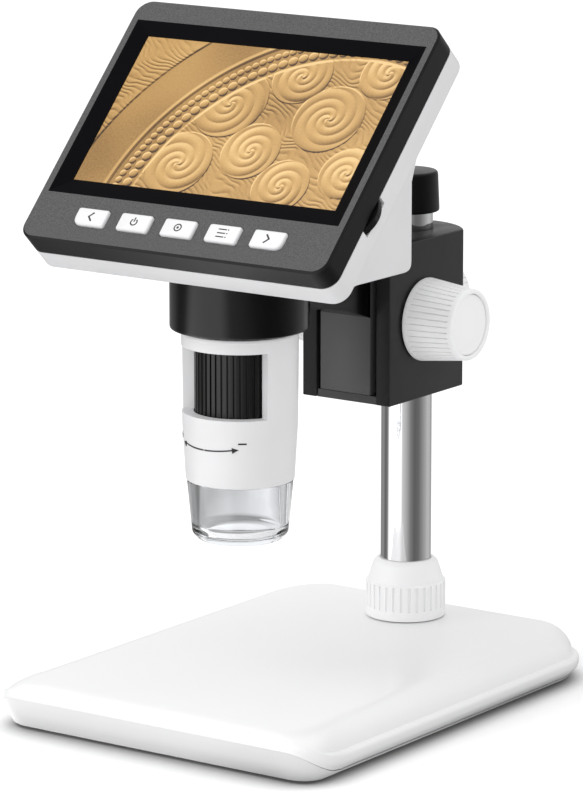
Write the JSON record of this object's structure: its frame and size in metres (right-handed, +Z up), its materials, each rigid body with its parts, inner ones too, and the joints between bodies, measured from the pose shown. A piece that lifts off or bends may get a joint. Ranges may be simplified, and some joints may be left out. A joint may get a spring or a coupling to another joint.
{
  "type": "lcd digital microscope",
  "caption": "Desktop digital microscope: tilted screen head with keys over a lens barrel, carried by a rack-focused arm and block on a pillar, on a flat white base.",
  "frame": {"origin": "centre of the base's footprint, on the surface that the feet stand on", "axes": "+Z up, -Y towards the user whom the screen faces, +X to the screen's right"},
  "size_m": [0.119, 0.1604, 0.2132],
  "materials": {
    "white_gloss": "satin white shells and keys",
    "base_white": "glossy white base",
    "bezel_grey": "fine grain, near-black sides",
    "frame_black": "smooth black",
    "black_satin": "satin black",
    "charcoal_metal": "charcoal anodised",
    "panel_grey": "dark grey anodised",
    "chrome": "polished",
    "steel": "plain",
    "ballast": "black paint",
    "brass": "machined",
    "rubber": "moulded",
    "clear_plastic": "clear",
    "glass": "clear",
    "lcd": "display panel",
    "pcb": "circuit board",
    "part_grey": "small component",
    "led": "LED"
  },
  "bodies": {
    "stand": {"base_cover": "base_white", "base_tray": "base_white", "base_weight": "ballast", "rubber_feet": "rubber", "base_screws": "steel", "column_socket": "steel", "column_bolt": "steel", "column_washer": "steel", "column_tube": "chrome", "column_end_cap": "black_satin"},
    "collar": {"collar_nut": "white_gloss"},
    "height": {"height_bush": "brass"},
    "block": {"block_housing": "charcoal_metal", "stop_plate": "charcoal_metal", "shaft_bushes": "brass", "lock_pad": "brass"},
    "lock": {"lock_knob": "white_gloss", "lock_screw": "steel"},
    "focus_knobs": {"focus_shaft": "steel", "pinion_gear": "brass", "focus_knob_right": "white_gloss", "focus_knob_left": "white_gloss", "knob_disc_right": "white_gloss", "knob_disc_left": "white_gloss"},
    "carriage": {"carriage_slide": "panel_grey", "focus_rack": "brass", "holder_arm": "black_satin", "arm_screws": "steel", "ring_liner": "black_satin"},
    "head": {"front_bezel": "bezel_grey", "screen_frame": "frame_black", "display_glass": "glass", "lcd_panel": "lcd", "key_board": "pcb", "tact_switches": "part_grey", "board_screws": "steel", "main_board": "pcb", "wheel_pot": "part_grey", "usb_port": "steel", "battery": "part_grey", "sensor_board": "pcb", "rear_shell": "white_gloss", "head_screws": "steel", "neck_barrel": "black_satin", "lens_sleeve": "white_gloss", "lens_tube": "black_satin", "led_board": "pcb", "led_chips": "led", "clear_cap": "clear_plastic"},
    "back_key": {"key_back": "white_gloss"},
    "power_key": {"key_power": "white_gloss"},
    "ok_key": {"key_ok": "white_gloss"},
    "menu_key": {"key_menu": "white_gloss"},
    "next_key": {"key_next": "white_gloss"},
    "wheel": {"brightness_wheel": "black_satin"},
    "focus_sleeve": {"focus_ring": "black_satin"},
    "lens": {"lens_carrier": "black_satin", "lens_elements": "glass"}
  },
  "joints": [
    {"name": "collar_turn", "type": "hinge", "parent": "stand", "child": "collar", "pos_m": [0, 0.0565, 0.024], "axis": [0, 0, 1], "range_deg": [0, 360]},
    {"name": "height_slide", "type": "slide", "parent": "stand", "child": "height", "axis": [0, 0, 1], "range_m": [-0.04, 0.005]},
    {"name": "block_swivel", "type": "hinge", "parent": "height", "child": "block", "pos_m": [0, 0.0565, 0.11455], "axis": [0, 0, 1], "range_deg": [-180, 180]},
    {"name": "lock_turn", "type": "hinge", "parent": "block", "child": "lock", "pos_m": [0, 0.075, 0.11655], "axis": [0, 1, 0], "range_deg": [0, 360]},
    {"name": "focus_slide", "type": "slide", "parent": "block", "child": "carriage", "axis": [0, 0, 1], "range_m": [0, 0.02]},
    {"name": "focus_turn", "type": "hinge", "parent": "block", "child": "focus_knobs", "pos_m": [0, 0.0413, 0.11455], "axis": [-1, 0, 0], "range_deg": [0, 328]},
    {"name": "head_turn", "type": "hinge", "parent": "carriage", "child": "head", "pos_m": [0, -0.0325, 0.13], "axis": [0, 0, 1], "range_deg": [-60, 60]},
    {"name": "back_press", "type": "slide", "parent": "head", "child": "back_key", "axis": [0, 0.7193, -0.6947], "range_m": [0, 0.0008], "stiffness_N_per_m": 400, "springref_m": -0.0005},
    {"name": "power_press", "type": "slide", "parent": "head", "child": "power_key", "axis": [0, 0.7193, -0.6947], "range_m": [0, 0.0008], "stiffness_N_per_m": 400, "springref_m": -0.0005},
    {"name": "ok_press", "type": "slide", "parent": "head", "child": "ok_key", "axis": [0, 0.7193, -0.6947], "range_m": [0, 0.0008], "stiffness_N_per_m": 400, "springref_m": -0.0005},
    {"name": "menu_press", "type": "slide", "parent": "head", "child": "menu_key", "axis": [0, 0.7193, -0.6947], "range_m": [0, 0.0008], "stiffness_N_per_m": 400, "springref_m": -0.0005},
    {"name": "next_press", "type": "slide", "parent": "head", "child": "next_key", "axis": [0, 0.7193, -0.6947], "range_m": [0, 0.0008], "stiffness_N_per_m": 400, "springref_m": -0.0005},
    {"name": "wheel_turn", "type": "hinge", "parent": "head", "child": "wheel", "pos_m": [0.0477, -0.04323, 0.16218], "axis": [0, -0.7193, 0.6947], "range_deg": [-135, 135]},
    {"name": "ring_turn", "type": "hinge", "parent": "head", "child": "focus_sleeve", "pos_m": [0, -0.0325, 0.107], "axis": [0, 0, 1], "range_deg": [-75, 75]},
    {"name": "lens_slide", "type": "slide", "parent": "head", "child": "lens", "axis": [0, 0, 1], "range_m": [-0.003, 0.003]}
  ],
  "couplings": [
    {"joint": "focus_turn", "follows": "focus_slide", "rad_per_m": 285.71},
    {"joint": "lens_slide", "follows": "ring_turn", "m_per_rad": 0.00229}
  ]
}
